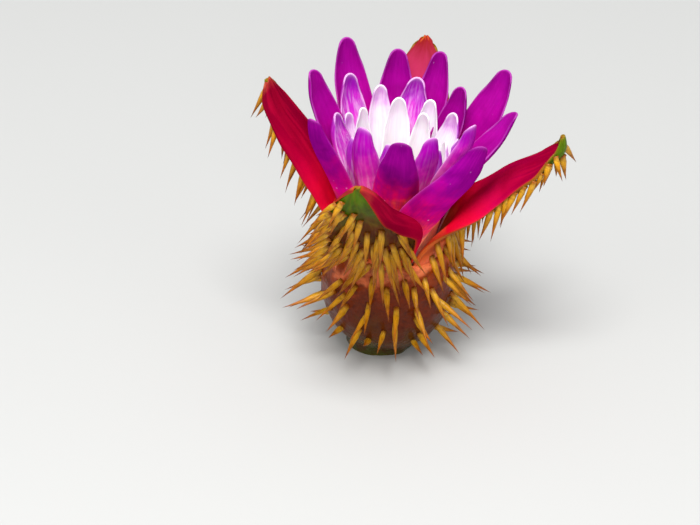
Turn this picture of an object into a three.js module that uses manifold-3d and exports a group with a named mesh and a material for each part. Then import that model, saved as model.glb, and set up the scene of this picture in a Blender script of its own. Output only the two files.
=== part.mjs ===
// A prickly water lily flower, picked with its round prickly ovary and standing on its stalk's cut end.
// Millimetres, +Z up. The origin is the middle of the cut stalk. The flower faces -Y.
// Angles round the flower's own axis are in degrees, from +X towards +Y.
import * as THREE from "three";
import { mergeVertices } from "three/addons/utils/BufferGeometryUtils.js";
import Module from "manifold-3d";

const wasm = await Module();
wasm.setup();

// ---- Driving dimensions ----

// The whole flower leans a little off the vertical, and its stalk is cut level.
const LEAN = { right: 4.6, forward: 3.2 };

// The ovary is a globe under the flower, with a rim round the shallow cup where petals and stamens grow.
// It narrows from its belly up to the rim and down to the stalk.
const STALK = { radius: 5.5, height: 1.4 };
const BELLY = { radius: 11.2, height: 12.6 };
const RIM = { radius: 10.2, height: 20.2, wall: 1.4 };
const CUP_EDGE = { radius: 8.4, height: 19.0 };
const CUP_FLOOR = { radius: 3.6, height: 16.8 };

// What grows from the cup or the rim stands about 0.3 clear of it at its lowest corner. These are the gaps
// under the middle of a foot, and a foot that is thick or slants has a corner well below its middle.
const SEAT_GAPS = { sepal: 0.75, petal: 0.6, stamen: 0.5, stigma: 0.3 };

// The four sepals are thick and channelled, wrap the rim at their feet, and roll back along their edges
// further up. Each has its direction, its tip's radius and height, and how far its tip hooks in.
const SEPAL = {
  width: 13.6, footShare: 0.86, thickness: 1.2, footRadius: 9.6, bow: 1.5, footCup: 40, cup: 26, roll: -100,
};
const SEPALS = [
  { name: "sepal_right", azimuth: 351.5, tipRadius: 25.5, tipHeight: 44.9, hook: 2.6 },
  { name: "sepal_back", azimuth: 82.5, tipRadius: 24.6, tipHeight: 44.8, hook: 2.0 },
  { name: "sepal_left", azimuth: 164.0, tipRadius: 24.5, tipHeight: 44.4, hook: 1.4 },
  { name: "sepal_front", azimuth: 252.5, tipRadius: 26.0, tipHeight: 44.1, hook: 1.6 },
];

// Petals grow in four whorls, each inside the last. A whorl gives the radius of its petals' feet,
// how far they bow outwards, how deeply they are channelled, and their foot's share of their width.
// A petal then has its direction, its tip's radius and height, its width, and the hook of its tip.
const PETAL_THICKNESS = 0.6;
const WHORLS = [
  {
    name: "outer", footRadius: 7.5, bow: 1.3, cup: 38, footShare: 0.5,
    petals: [
      { azimuth: 32.0, tipRadius: 19.8, tipHeight: 47.4, width: 5.4, hook: 0.2 },
      { azimuth: 70.0, tipRadius: 17.2, tipHeight: 46.8, width: 4.9, hook: 0.6 },
      { azimuth: 97.0, tipRadius: 16.8, tipHeight: 46.4, width: 4.9, hook: 0.9 },
      { azimuth: 125.0, tipRadius: 18.9, tipHeight: 48.5, width: 6.2, hook: 0.4 },
      { azimuth: 161.0, tipRadius: 17.9, tipHeight: 46.8, width: 5.6, hook: 0.6 },
      { azimuth: 210.5, tipRadius: 19.2, tipHeight: 46.9, width: 5.6, hook: 0.4 },
      { azimuth: 265.0, tipRadius: 15.2, tipHeight: 47.0, width: 7.2, hook: 1.4 },
      { azimuth: 309.0, tipRadius: 19.2, tipHeight: 47.8, width: 6.4, hook: 0.5 },
      { azimuth: 356.0, tipRadius: 17.6, tipHeight: 46.7, width: 5.4, hook: 0.3 },
    ],
  },
  {
    name: "second", footRadius: 6.6, bow: 1.1, cup: 42, footShare: 0.56,
    petals: [
      { azimuth: 46.0, tipRadius: 13.9, tipHeight: 44.0, width: 4.8, hook: 0.6 },
      { azimuth: 82.0, tipRadius: 12.9, tipHeight: 43.7, width: 4.6, hook: 0.5 },
      { azimuth: 138.0, tipRadius: 14.2, tipHeight: 44.9, width: 4.8, hook: 0.5 },
      { azimuth: 178.0, tipRadius: 12.6, tipHeight: 42.2, width: 4.4, hook: 0.4 },
      { azimuth: 231.0, tipRadius: 12.8, tipHeight: 46.0, width: 5.8, hook: 0.8 },
      { azimuth: 288.0, tipRadius: 9.6, tipHeight: 44.2, width: 4.6, hook: 0.5 },
      { azimuth: 329.0, tipRadius: 13.2, tipHeight: 46.6, width: 5.2, hook: 0.6 },
      { azimuth: 14.0, tipRadius: 12.2, tipHeight: 43.0, width: 4.6, hook: 0.5 },
    ],
  },
  {
    name: "third", footRadius: 5.6, bow: 0.8, cup: 44, footShare: 0.6,
    petals: [
      { azimuth: 32.0, tipRadius: 9.9, tipHeight: 41.6, width: 3.8, hook: 0.4 },
      { azimuth: 66.0, tipRadius: 10.9, tipHeight: 41.2, width: 3.9, hook: 0.4 },
      { azimuth: 112.0, tipRadius: 11.6, tipHeight: 42.8, width: 3.9, hook: 0.4 },
      { azimuth: 155.0, tipRadius: 11.2, tipHeight: 40.2, width: 3.6, hook: 0.3 },
      { azimuth: 201.0, tipRadius: 9.8, tipHeight: 40.0, width: 3.8, hook: 0.4 },
      { azimuth: 251.0, tipRadius: 8.6, tipHeight: 42.0, width: 3.9, hook: 0.4 },
      { azimuth: 309.0, tipRadius: 8.8, tipHeight: 41.0, width: 3.8, hook: 0.4 },
      { azimuth: 351.0, tipRadius: 9.2, tipHeight: 40.4, width: 3.8, hook: 0.4 },
    ],
  },
  {
    name: "inner", footRadius: 4.7, bow: 0.5, cup: 44, footShare: 0.62,
    petals: [
      { azimuth: 42.0, tipRadius: 8.0, tipHeight: 39.6, width: 3.2, hook: 0.3 },
      { azimuth: 92.0, tipRadius: 9.5, tipHeight: 41.4, width: 4.0, hook: 0.3 },
      { azimuth: 133.0, tipRadius: 9.8, tipHeight: 40.0, width: 3.4, hook: 0.3 },
      { azimuth: 179.0, tipRadius: 7.8, tipHeight: 38.4, width: 3.3, hook: 0.3 },
      { azimuth: 228.0, tipRadius: 6.9, tipHeight: 37.8, width: 3.3, hook: 0.3 },
      { azimuth: 282.0, tipRadius: 6.6, tipHeight: 38.2, width: 3.4, hook: 0.3 },
      { azimuth: 330.0, tipRadius: 7.0, tipHeight: 38.0, width: 3.3, hook: 0.3 },
      { azimuth: 6.0, tipRadius: 7.4, tipHeight: 38.6, width: 3.2, hook: 0.3 },
    ],
  },
];

// Short stamens stand in a ring round the stigma, a concave disc with a thick edge. A stamen's girth at
// four places is a share of its radius: a slender filament, an anther, then a blunt tip.
const STAMENS = { count: 18, footRadius: 3.95, tipRadius: 3.7, bow: 0.5, length: 11.5, radius: 0.42 };
const STAMEN_GIRTHS = [[0, 0.75], [0.55, 0.9], [0.7, 1.15], [1, 0.55]];
const STIGMA = { radius: 3.1, thickness: 0.9, edge: 0.8 };

// Prickles stand in rows up the backs of the sepals, longest near the foot, and in rings round the ovary.
const PRICKLE = { radius: 0.55, sides: 5, sunk: 0.3 };
const SEPAL_PRICKLES = {
  rows: 7, first: 0.13, last: 0.9, outward: 0.66, footward: 0.74, longest: 6.2, shortest: 3.4,
};
const OVARY_PRICKLES = [
  { height: 16.8, count: 13, length: 6.4, droop: 30 },
  { height: 13.8, count: 14, length: 7.4, droop: 28 },
  { height: 10.6, count: 13, length: 7.2, droop: 22 },
  { height: 7.4, count: 10, length: 5.6, droop: 8 },
];

// How finely the meshes are cut.
const PETAL_CUTS = { along: 6, across: 4 };
const SEPAL_CUTS = { along: 9, across: 8 };
const OVARY_CUTS = { upward: 8, around: 28 };
const STAMEN_SIDES = 6;
const STIGMA_SIDES = 16;

// Colours and roughness.
const OVARY_LOOK = { color: 0x9c3a22, roughness: 0.6 };
const SEPAL_LOOK = { color: 0xc4103a, roughness: 0.45 };
const PETAL_LOOKS = {
  outer: { color: 0xa8049c, roughness: 0.4 },
  second: { color: 0xb22cc0, roughness: 0.4 },
  third: { color: 0xe6b4e6, roughness: 0.4 },
  inner: { color: 0xfff6f2, roughness: 0.4 },
};
const STAMEN_LOOK = { color: 0xfff0c8, roughness: 0.5 };
const STIGMA_LOOK = { color: 0xb03048, roughness: 0.5 };

// ---- Helpers ----

const radians = THREE.MathUtils.degToRad;
const smooth = THREE.MathUtils.smoothstep;
const mix = THREE.MathUtils.lerp;

// A lathe turned about Z, from a profile of [radius, height] points that starts and ends on the axis.
function turned(profile, sides) {
  return new THREE.LatheGeometry(profile.map((p) => new THREE.Vector2(...p)), sides).rotateX(Math.PI / 2);
}

// A value from -1 to 1 that looks random but is the same on every run.
function scatter(seed) {
  const x = Math.sin(seed * 127.1 + 11.7) * 43758.5453;
  return 2 * (x - Math.floor(x)) - 1;
}

// A closed mesh through rings of points, all of the same even count. Each end is closed straight across.
function loft(rings) {
  const n = rings[0].length;
  const index = [];
  for (let i = 0; i + 1 < rings.length; i++) {
    for (let j = 0; j < n; j++) {
      const [a, b] = [i * n + j, i * n + ((j + 1) % n)];
      index.push(a, b, b + n, a, b + n, a + n);
    }
  }
  const last = (rings.length - 1) * n;
  for (let j = 0; j < n / 2 - 1; j++) {
    const [a, b, c, d] = [j, j + 1, n - 2 - j, n - 1 - j];
    index.push(a, c, b, a, d, c);
    index.push(last + a, last + b, last + c, last + a, last + c, last + d);
  }
  const geometry = new THREE.BufferGeometry().setFromPoints(rings.flat());
  geometry.setIndex(index);
  return geometry;
}

// A three.js geometry as a manifold-3d solid, and back.
function toSolid(geometry) {
  const bare = new THREE.BufferGeometry().setAttribute("position", geometry.getAttribute("position"));
  bare.setIndex(geometry.index);
  const merged = mergeVertices(bare, 1e-4);
  return new wasm.Manifold(new wasm.Mesh({
    numProp: 3,
    vertProperties: merged.attributes.position.array,
    triVerts: new Uint32Array(merged.index.array),
  }));
}

function toGeometry(solid) {
  const mesh = solid.getMesh();
  const geometry = new THREE.BufferGeometry();
  geometry.setAttribute("position", new THREE.BufferAttribute(mesh.vertProperties, 3));
  geometry.setIndex(new THREE.BufferAttribute(mesh.triVerts, 1));
  geometry.computeVertexNormals();
  return geometry;
}

function namedMesh(name, geometry, look) {
  const mesh = new THREE.Mesh(geometry, new THREE.MeshStandardMaterial({ ...look, metalness: 0 }));
  mesh.name = name;
  return mesh;
}

// ---- A blade: the shape that sepals and petals share ----

// The line up the middle of a blade, from foot to tip. It bows outwards, and where its tip is hooked it
// goes further out on the way up and comes back in at the end.
function spine(blade, t) {
  const foot = new THREE.Vector2(blade.footRadius, blade.footHeight);
  const tip = new THREE.Vector2(blade.tipRadius, blade.tipHeight);
  const run = tip.clone().sub(foot);
  const outward = new THREE.Vector2(run.y, -run.x).normalize();
  const bow = blade.bow * 4 * t * (1 - t);
  const hook = blade.hook * (t - smooth(t, 0.72, 1));
  return foot.addScaledVector(run, t).addScaledVector(outward, bow + hook);
}

// Where a blade is at t, and its directions there: along it, across it and in towards the flower's axis.
function bladeFrame(blade, t) {
  const step = 1e-3;
  const here = spine(blade, t);
  const along = spine(blade, t + step).sub(spine(blade, t - step)).normalize();
  const az = radians(blade.azimuth);
  const out = new THREE.Vector3(Math.cos(az), Math.sin(az), 0);
  const up = new THREE.Vector3(0, 0, 1);
  const forward = out.clone().multiplyScalar(along.x).addScaledVector(up, along.y);
  const across = new THREE.Vector3(-Math.sin(az), Math.cos(az), 0);
  const inward = forward.clone().cross(across);
  const middle = out.multiplyScalar(here.x).addScaledVector(up, here.y);
  return { middle, forward, across, inward };
}

// The surface's slope across the blade, at v from -1 to 1: channelled in the middle, rolled at the edges.
function slopeAcross(blade, t, v) {
  const roll = blade.rollAt(t) * smooth(Math.abs(v), 0.55, 1);
  return Math.sign(v) * radians(blade.cupAt(t) * Math.abs(v) + roll);
}

// A point of the blade's middle surface at (t, v), with the surface's normal on the inner side. Short
// strides from the middle line out to v add up the slope, so that the width is kept along the surface.
function bladePoint(blade, t, v) {
  const { middle, across, inward } = bladeFrame(blade, t);
  const strides = 8;
  const stride = (blade.widthAt(t) / 2) * (v / strides);
  let [side, lift] = [0, 0];
  for (let i = 0; i < strides; i++) {
    const slope = slopeAcross(blade, t, (v * (i + 0.5)) / strides);
    side += Math.cos(slope) * stride;
    lift += Math.sin(slope) * stride;
  }
  const slope = slopeAcross(blade, t, v);
  const point = middle.addScaledVector(across, side).addScaledVector(inward, lift);
  const normal = inward.multiplyScalar(Math.cos(slope)).addScaledVector(across, -Math.sin(slope));
  return { point, normal };
}

// The blade as a solid: rings across it, each running along its outer face and back along its inner face.
// Rings lie closer together towards the tip, and the blade thins towards its tip and its edges.
function bladeGeometry(blade, cuts) {
  const rings = [];
  for (let i = 0; i <= cuts.along; i++) {
    const t = 1 - (1 - i / cuts.along) ** 1.6;
    const [inner, outer] = [[], []];
    for (let j = 0; j <= cuts.across; j++) {
      const v = (2 * j) / cuts.across - 1;
      const { point, normal } = bladePoint(blade, t, v);
      const half = (blade.thickness / 2) * (1 - 0.4 * v ** 4) * mix(1, 0.7, t);
      inner.push(point.clone().addScaledVector(normal, half));
      outer.push(point.clone().addScaledVector(normal, -half));
    }
    rings.push([...outer, ...inner.reverse()]);
  }
  return loft(rings);
}

// ---- Prickles ----

// A prickle that stands at a point in a direction, with its foot sunk below the point.
function prickle(point, direction, length) {
  const { radius, sides, sunk } = PRICKLE;
  const turn = new THREE.Quaternion().setFromUnitVectors(new THREE.Vector3(0, 0, 1), direction);
  const cone = turned([[0, -sunk], [radius, -sunk], [0, length]], sides);
  return cone.applyQuaternion(turn).translate(...point);
}

function withPrickles(body, prickles) {
  return toGeometry(prickles.reduce((solid, one) => solid.add(toSolid(one)), body));
}

// ---- Sepals ----

function sepalBlade(sepal) {
  return {
    ...SEPAL,
    ...sepal,
    footHeight: RIM.height + SEAT_GAPS.sepal,
    cupAt: (t) => mix(SEPAL.footCup, SEPAL.cup, smooth(t, 0, 0.3)),
    rollAt: (t) => SEPAL.roll * smooth(t, 0.12, 0.5),
    widthAt: (t) =>
      SEPAL.width * mix(SEPAL.footShare, 1, smooth(t, 0.05, 0.4)) * Math.max((1 - t ** 2.6) ** 0.9, 0.09),
  };
}

// Rows of three and four prickles take turns up a sepal's back, and its hooked tip has single ones.
// They point away from the back and down towards the foot.
function sepalPrickles(blade, number) {
  const { rows, first, last, outward, footward, longest, shortest } = SEPAL_PRICKLES;
  const prickles = [];
  for (let row = 0; row < rows; row++) {
    const t = mix(first, last, row / (rows - 1));
    const width = row % 2 ? [-0.34, 0, 0.34] : [-0.48, -0.16, 0.16, 0.48];
    for (const v of t > 0.8 ? [0] : width) {
      const seed = number * 100 + row * 10 + v * 9;
      const { point, normal } = bladePoint(blade, t + 0.03 * scatter(seed + 1), v + 0.06 * scatter(seed));
      const { forward, across } = bladeFrame(blade, t);
      const direction = normal.clone().multiplyScalar(-outward)
        .addScaledVector(forward, -footward + 0.12 * scatter(seed + 2))
        .addScaledVector(across, 0.16 * scatter(seed + 3))
        .normalize();
      const length = mix(longest, shortest, t) * (1 + 0.14 * scatter(seed + 4));
      prickles.push(prickle(point, direction, length));
    }
  }
  return prickles;
}

function sepalMesh(sepal, number) {
  const blade = sepalBlade(sepal);
  const body = toSolid(bladeGeometry(blade, SEPAL_CUTS));
  return namedMesh(sepal.name, withPrickles(body, sepalPrickles(blade, number)), SEPAL_LOOK);
}

// ---- Petals ----

// The height of the cup's slanting floor at a radius.
function seatHeight(radius) {
  const share = (radius - CUP_FLOOR.radius) / (CUP_EDGE.radius - CUP_FLOOR.radius);
  return mix(CUP_FLOOR.height, CUP_EDGE.height, share);
}

function petalMesh(whorl, petal, number) {
  const blade = {
    ...whorl,
    ...petal,
    thickness: PETAL_THICKNESS,
    footHeight: seatHeight(whorl.footRadius) + SEAT_GAPS.petal,
    cupAt: (t) => whorl.cup * mix(0.6, 1, smooth(t, 0.2, 1)),
    rollAt: () => 0,
    widthAt: (t) =>
      petal.width * mix(whorl.footShare, 1, smooth(t, 0, 0.6)) * Math.max(Math.sqrt(1 - t ** 5), 0.3),
  };
  const name = `petal_${whorl.name}_${number + 1}`;
  return namedMesh(name, bladeGeometry(blade, PETAL_CUTS), PETAL_LOOKS[whorl.name]);
}

// ---- Stamens and stigma ----

function stamenMesh(number) {
  const { count, footRadius, tipRadius, bow, length, radius } = STAMENS;
  const azimuth = (2 * Math.PI * number) / count;
  const foot = seatHeight(footRadius) + SEAT_GAPS.stamen;
  const rings = STAMEN_GIRTHS.map(([t, girth]) => {
    const axis = mix(footRadius, tipRadius, t) + bow * Math.sin(Math.PI * t);
    return Array.from({ length: STAMEN_SIDES }, (_, k) => {
      const a = (2 * Math.PI * k) / STAMEN_SIDES;
      const point = new THREE.Vector3(Math.cos(a), Math.sin(a), 0).multiplyScalar(radius * girth);
      point.x += axis;
      point.z = foot + length * t;
      return point.applyAxisAngle(new THREE.Vector3(0, 0, 1), azimuth);
    });
  });
  return namedMesh(`stamen_${number + 1}`, loft(rings), STAMEN_LOOK);
}

function stigmaMesh() {
  const { radius, thickness, edge } = STIGMA;
  const floor = CUP_FLOOR.height + SEAT_GAPS.stigma;
  const top = floor + thickness;
  const under = [[0, floor], [radius * 0.8, floor], [radius, top]];
  const over = [[radius * 0.9, top + edge], [radius * 0.6, top], [0, floor + thickness * 0.7]];
  return namedMesh("stigma_disc", turned([...under, ...over], STIGMA_SIDES), STIGMA_LOOK);
}

// ---- Ovary ----

// The ovary's outer radius at a height: an ellipse above the belly and another below it.
function ovaryRadius(height) {
  const end = height > BELLY.height ? RIM : STALK;
  const reach = (height - BELLY.height) / (end.height - BELLY.height);
  return BELLY.radius * Math.sqrt(1 - (1 - (end.radius / BELLY.radius) ** 2) * reach ** 2);
}

// The ovary, on a stalk that is too long until it is cut.
function ovaryGeometry() {
  const profile = [[0, -STALK.radius], [STALK.radius, -STALK.radius]];
  for (let i = 0; i <= OVARY_CUTS.upward; i++) {
    const height = mix(STALK.height, RIM.height, i / OVARY_CUTS.upward);
    profile.push([ovaryRadius(height), height]);
  }
  profile.push([RIM.radius - RIM.wall, RIM.height], [CUP_EDGE.radius, CUP_EDGE.height]);
  profile.push([CUP_FLOOR.radius, CUP_FLOOR.height], [0, CUP_FLOOR.height]);
  return turned(profile, OVARY_CUTS.around);
}

// Every second ring of prickles is set half a step round from the last.
function ovaryPrickles() {
  return OVARY_PRICKLES.flatMap((ring, r) =>
    Array.from({ length: ring.count }, (_, k) => {
      const seed = 900 + 40 * r + k;
      const azimuth = radians((360 * (k + 0.5 * (r % 2))) / ring.count + 6 * scatter(seed));
      const height = ring.height + 0.7 * scatter(seed + 300);
      const droop = radians(ring.droop + 9 * scatter(seed + 500));
      const out = new THREE.Vector3(Math.cos(azimuth), Math.sin(azimuth), 0);
      const direction = out.clone().multiplyScalar(Math.cos(droop));
      direction.z = -Math.sin(droop);
      const foot = out.multiplyScalar(ovaryRadius(height) - PRICKLE.sunk);
      foot.z = height;
      return prickle(foot, direction, ring.length * (1 + 0.12 * scatter(seed + 700)));
    }));
}

// The ovary leans with the flower, and what of its stalk reaches below the origin is cut off level.
function ovaryMesh(lean) {
  const leaning = withPrickles(toSolid(ovaryGeometry()), ovaryPrickles())
    .applyMatrix4(new THREE.Matrix4().makeRotationFromEuler(lean));
  const size = 6 * BELLY.radius;
  const below = new THREE.BoxGeometry(size, size, size).translate(0, 0, -size / 2);
  return namedMesh("ovary", toGeometry(toSolid(leaning).subtract(toSolid(below))), OVARY_LOOK);
}

// ---- The whole flower ----

const lean = new THREE.Euler(radians(LEAN.forward), radians(LEAN.right), 0);
const flower = new THREE.Group();
flower.rotation.copy(lean);
SEPALS.forEach((sepal, i) => flower.add(sepalMesh(sepal, i)));
for (const whorl of WHORLS) {
  whorl.petals.forEach((petal, i) => flower.add(petalMesh(whorl, petal, i)));
}
for (let i = 0; i < STAMENS.count; i++) {
  flower.add(stamenMesh(i));
}
flower.add(stigmaMesh());

const part = new THREE.Group();
part.add(ovaryMesh(lean), flower);

export default part;
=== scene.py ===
"""A prickly water lily flower, as picked, standing on the cut end of its stalk.

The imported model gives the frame: metres, +Z up, the origin in the middle of the cut end. The flower's own
axis leans a little to the right and towards the camera. Petals, sepals, stamens, stigma and ovary are
modelled here in that leaning frame, in millimetres, and each stands for its plain solid, in its place or
within a few millimetres of it.
"""

import logging
import math
import random
from dataclasses import dataclass, field, replace
from enum import Enum
from typing import Callable, Iterable, Optional, Union

import bpy
from mathutils import Matrix, Vector, noise


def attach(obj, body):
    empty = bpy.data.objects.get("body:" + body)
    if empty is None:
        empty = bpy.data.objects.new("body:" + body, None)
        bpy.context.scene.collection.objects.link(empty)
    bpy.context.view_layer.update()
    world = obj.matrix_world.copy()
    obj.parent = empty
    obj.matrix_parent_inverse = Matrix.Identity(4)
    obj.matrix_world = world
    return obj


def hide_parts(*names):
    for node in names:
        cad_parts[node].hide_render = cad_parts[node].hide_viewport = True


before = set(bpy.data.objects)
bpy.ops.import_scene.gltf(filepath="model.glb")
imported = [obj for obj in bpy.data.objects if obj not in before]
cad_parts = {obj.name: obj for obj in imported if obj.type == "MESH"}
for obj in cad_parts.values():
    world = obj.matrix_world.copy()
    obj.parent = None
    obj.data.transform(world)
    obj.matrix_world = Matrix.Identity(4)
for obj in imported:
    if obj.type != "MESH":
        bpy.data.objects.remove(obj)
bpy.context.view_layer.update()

log = logging.getLogger("flower")

MM = 0.001
BODY = "root"
PLACE_MAP = "blade"  # across and along a piece, each from 0 to 1
GRAIN_MAP = "grain"  # across and along a piece in millimetres, shifted so that no two pieces match

Piece = bpy.types.Object
Tree = bpy.types.NodeTree
Socket = Union[str, int]
Point2 = tuple[float, float]
Stops = tuple[tuple[float, Union[str, float]], ...]
Inputs = dict[Socket, object]


# ------------------------------------------- Small tools -------------------------------------------


def mix(a: float, b: float, share: float) -> float:
    """Goes from a to b as share goes from 0 to 1."""
    return a + (b - a) * share


def smooth(x: float, low: float, high: float) -> float:
    """Rises smoothly from 0 at low to 1 at high."""
    s = min(max((x - low) / (high - low), 0.0), 1.0)
    return s * s * (3 - 2 * s)


def arch(t: float) -> float:
    """Rises from 0 at 0 to 1 halfway, and falls back to 0 at 1."""
    return 4 * t * (1 - t)


def turn_of(point: Vector) -> float:
    """Gives how far round the Z axis a point lies, from 0 to 1."""
    return math.atan2(point.y, point.x) / math.tau + 0.5


def outward(azimuth: float) -> Vector:
    """Gives the level direction at an azimuth in radians."""
    return Vector((math.cos(azimuth), math.sin(azimuth), 0))


def turn_to(direction: Vector, roll: float = 0.0) -> Matrix:
    """Gives the turn that takes +Z to a direction.

    Args:
        direction: where +Z goes.
        roll: a turn about +Z before that, in degrees.

    Returns:
        The turn as a 4x4 matrix.
    """
    turn = direction.to_track_quat("Z", "X").to_matrix().to_4x4()
    return turn @ Matrix.Rotation(math.radians(roll), 4, "Z")


def linear(colour: str) -> tuple[float, float, float, float]:
    """Turns an sRGB hex colour into linear RGBA.

    Args:
        colour: the colour as #RRGGBB.

    Returns:
        Linear red, green, blue and an alpha of 1.
    """
    parts = [int(colour[i : i + 2], 16) / 255 for i in (1, 3, 5)]
    r, g, b = (c / 12.92 if c <= 0.04045 else ((c + 0.055) / 1.055) ** 2.4 for c in parts)
    return (r, g, b, 1.0)


def fill(node: bpy.types.Node, inputs: Inputs) -> None:
    """Sets a node's inputs.

    Args:
        node: the node.
        inputs: a value for each input, or what to link to it: an output, or a node for its first output.
    """
    for socket, value in inputs.items():
        if isinstance(value, bpy.types.Node):
            value = value.outputs[0]
        if isinstance(value, bpy.types.NodeSocket):
            node.id_data.links.new(value, node.inputs[socket])
        else:
            node.inputs[socket].default_value = value


def add_node(
    tree: Tree, kind: str, inputs: Optional[Inputs] = None, stops: Stops = (), **settings: object
) -> bpy.types.Node:
    """Adds one shader node with its settings, its input values and its links.

    Args:
        tree: the material's node tree.
        kind: the node's Blender type, without "ShaderNode".
        inputs: what goes into its inputs, as in fill.
        stops: the positions of a colour ramp, each with a hex colour or a grey from 0 to 1.
        settings: the node's own properties.

    Returns:
        The new node.
    """
    node = tree.nodes.new("ShaderNode" + kind)
    for name, value in settings.items():
        setattr(node, name, value)
    for i, (position, colour) in enumerate(stops):
        ramp = node.color_ramp.elements
        stop = ramp[i] if i < len(ramp) else ramp.new(position)
        stop.position = position
        stop.color = linear(colour) if isinstance(colour, str) else (colour, colour, colour, 1.0)
    fill(node, inputs or {})
    return node


def pick(*pieces: Piece) -> None:
    """Selects these pieces and nothing else, and makes the first of them active.

    Args:
        pieces: the objects. With none, nothing stays selected.
    """
    for other in bpy.context.selected_objects:
        other.select_set(False)
    for piece in pieces:
        piece.select_set(True)
    if pieces:
        bpy.context.view_layer.objects.active = pieces[0]


def add_primitive(operator: Callable[..., set[str]], **settings: object) -> Piece:
    """Adds a primitive while nothing else is selected.

    Args:
        operator: the operator that adds it.
        settings: the operator's settings.

    Returns:
        The new object, selected and active.
    """
    pick()
    operator(**settings)
    return bpy.context.active_object


def apply_modifier(piece: Piece, kind: str, **settings: object) -> None:
    """Adds a modifier and applies it.

    Args:
        piece: the object that gets the modifier.
        kind: the modifier's Blender type.
        settings: the modifier's properties.
    """
    modifier = piece.modifiers.new(kind.title(), kind)
    for name, value in settings.items():
        setattr(modifier, name, value)
    pick(piece)
    bpy.ops.object.modifier_apply(modifier=modifier.name)


def join(parts: list[Piece]) -> Piece:
    """Joins objects into the first of them, with their materials.

    Args:
        parts: the objects.

    Returns:
        The joined object.
    """
    pick(*parts)
    bpy.ops.object.join()
    return parts[0]


def copy_of(template: Piece, place: Matrix) -> Piece:
    """Copies a template with a mesh of its own.

    Args:
        template: the object to copy.
        place: where the copy's mesh goes, from the template's own place.

    Returns:
        The copy, its object at the origin.
    """
    twin = template.copy()
    twin.data = template.data.copy()
    twin.data.transform(place)
    bpy.context.scene.collection.objects.link(twin)
    return twin


def lay_maps(piece: Piece, places: list[Point2], size: Point2, shift: Point2 = (0.0, 0.0)) -> None:
    """Writes the two UV maps that the finishes read.

    Args:
        piece: the object to map.
        places: how far across and along each vertex lies, each from 0 to 1.
        size: the piece's width and length in millimetres.
        shift: moves the grain map, in millimetres.
    """
    mesh = piece.data
    while mesh.uv_layers:
        mesh.uv_layers.remove(mesh.uv_layers[0])
    mesh.uv_layers.new(name=PLACE_MAP)
    mesh.uv_layers.new(name=GRAIN_MAP)
    blade, grain = mesh.uv_layers[PLACE_MAP].data, mesh.uv_layers[GRAIN_MAP].data
    for loop in mesh.loops:
        across, along = places[loop.vertex_index]
        blade[loop.index].uv = (across, along)
        grain[loop.index].uv = (across * size[0] + shift[0], along * size[1] + shift[1])


def edit_all(piece: Piece) -> None:
    """Enters edit mode on a piece, with its whole mesh selected.

    Args:
        piece: the object to edit.
    """
    pick(piece)
    bpy.ops.object.mode_set(mode="EDIT")
    bpy.ops.mesh.select_all(action="SELECT")


def face_outwards() -> None:
    """Turns every face of the mesh in edit mode outwards, and leaves edit mode."""
    bpy.ops.mesh.select_all(action="SELECT")
    bpy.ops.mesh.normals_make_consistent(inside=False)
    bpy.ops.object.mode_set(mode="OBJECT")


def grow(radius: float, sides: int, rings: tuple[Point2, ...], bend: float = 0.0) -> Piece:
    """Grows a round stem up +Z from a disc, ring by ring.

    Args:
        radius: the radius where the girth is 1.
        sides: how many sides it has.
        rings: the height and the girth of each ring, from the foot up. A girth of 0 ends it in a point.
        bend: how far it leans to +X at a height of 1.

    Returns:
        The stem, closed and smooth.
    """
    foot = radius * rings[0][1]
    piece = add_primitive(bpy.ops.mesh.primitive_circle_add, vertices=sides, radius=foot, fill_type="NGON")
    edit_all(piece)
    for (low, girth), (high, next_girth) in zip(rings, rings[1:]):
        step = (bend * (high**2 - low**2), 0, high - low)
        bpy.ops.mesh.extrude_region_move(TRANSFORM_OT_translate={"value": step})
        if next_girth:
            bpy.ops.transform.resize(value=(next_girth / girth, next_girth / girth, 1))
        else:
            bpy.ops.mesh.merge(type="CENTER")
    face_outwards()
    bpy.ops.object.shade_smooth()
    return piece


def spin(name: str, profile: Iterable[Point2], steps: int) -> Piece:
    """Spins a profile of radius and height about Z into a closed shell.

    Args:
        name: the object's name.
        profile: points from the axis at the bottom to the axis at the top.
        steps: how many steps the turn takes.

    Returns:
        The shell, facing out.
    """
    points = [(r, 0, z) for r, z in profile]
    mesh = bpy.data.meshes.new(name)
    mesh.from_pydata(points, [(i, i + 1) for i in range(len(points) - 1)], [])
    piece = bpy.data.objects.new(name, mesh)
    bpy.context.scene.collection.objects.link(piece)
    edit_all(piece)
    bpy.ops.mesh.spin(steps=steps, angle=math.tau, center=(0, 0, 0), axis=(0, 0, 1))
    bpy.ops.mesh.select_all(action="SELECT")
    bpy.ops.mesh.remove_doubles(threshold=1e-4)
    face_outwards()
    return piece


# --------------------------------------------- Finishes ---------------------------------------------
# Sockets by number: a Map Range node takes its value at 0, the range that comes in at 1 and 2 and the range
# that goes out at 3 and 4. A Mix node takes the share at 0 and two colours at 6 and 7, and its output is 2.

NOISE = {1: 0.3, 2: 0.7}  # the range that nearly all of a noise texture's values lie in


class Finish:
    """What all finishes share: a name and a material, which is made once."""

    name: str

    def material(self) -> bpy.types.Material:
        """Looks the finish's material up, or makes it at the first call.

        Returns:
            The Blender material.
        """
        material = bpy.data.materials.get(self.name)
        if material is None:
            material = bpy.data.materials.new(self.name)
            material.use_nodes = True
            fill(material.node_tree.nodes["Principled BSDF"], self.looks(material.node_tree))
        return material

    def looks(self, tree: Tree) -> Inputs:
        """Adds the finish's nodes to a tree.

        Args:
            tree: the material's node tree.

        Returns:
            What goes into the inputs of its principled shader.
        """
        raise NotImplementedError


def dress(piece: Piece, *finishes: Finish) -> None:
    """Gives a piece its materials.

    Args:
        piece: the object.
        finishes: the finishes, in the order of its material slots.
    """
    for finish in finishes:
        piece.data.materials.append(finish.material())


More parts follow.
